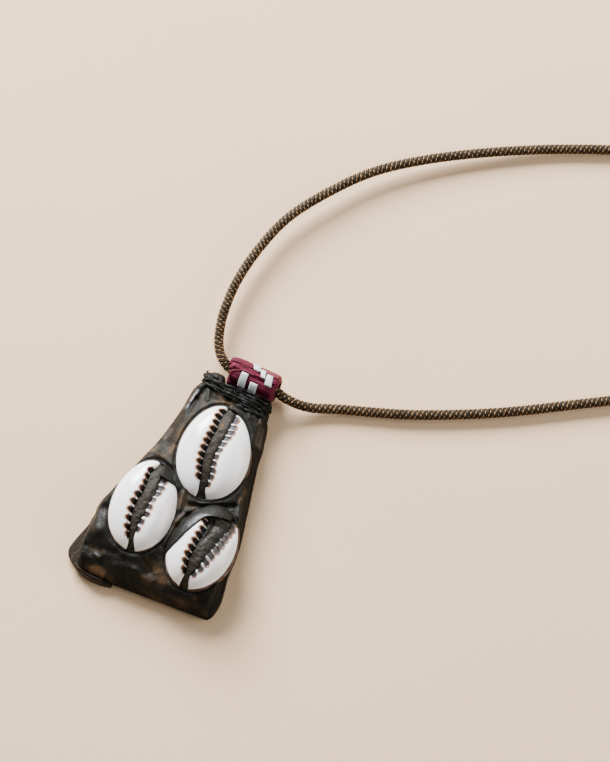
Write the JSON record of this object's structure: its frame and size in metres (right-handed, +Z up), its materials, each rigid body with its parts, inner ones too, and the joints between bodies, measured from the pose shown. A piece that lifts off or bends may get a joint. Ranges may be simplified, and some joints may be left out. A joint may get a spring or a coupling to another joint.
{
  "type": "cowrie shell amulet",
  "caption": "Leather packet moulded round cowrie shells, with a bound neck, a thread-wound bail and a long two-coloured twisted neck cord with a barrel clasp.",
  "frame": {"origin": "on the surface that the pendant lies on, under the middle of the pendant's own box, without its cord and clasp", "axes": "+Z up, out of the shells; +Y from the packet's bottom edge to its neck and bail; +X across"},
  "size_m": [0.1795, 0.1757, 0.0114],
  "materials": {
    "leather_packet": "waxed, dark brown, scuffed on the rims",
    "back_panel": "waxed, dark brown",
    "corner_fold": "waxed, dark brown, worn at the edge",
    "cowrie_top": "polished natural shell",
    "cowrie_left": "polished natural shell",
    "cowrie_right": "polished natural shell",
    "neck_binding": "waxed black cord, glossy",
    "bail": "wound maroon thread",
    "bail_strip": "smooth white strip",
    "neck_cord": "twisted from tan and black yarns",
    "clasp": "dull, worn"
  },
  "bodies": {
    "root": {"leather_packet": "leather_packet", "back_panel": "back_panel", "corner_fold": "corner_fold", "cowrie_top": "cowrie_top", "cowrie_left": "cowrie_left", "cowrie_right": "cowrie_right", "neck_binding": "neck_binding", "bail": "bail", "bail_strip_1": "bail_strip", "bail_strip_2": "bail_strip", "bail_strip_3": "bail_strip", "bail_strip_4": "bail_strip", "bail_strip_5": "bail_strip", "neck_cord": "neck_cord", "clasp": "clasp"}
  },
  "joints": []
}
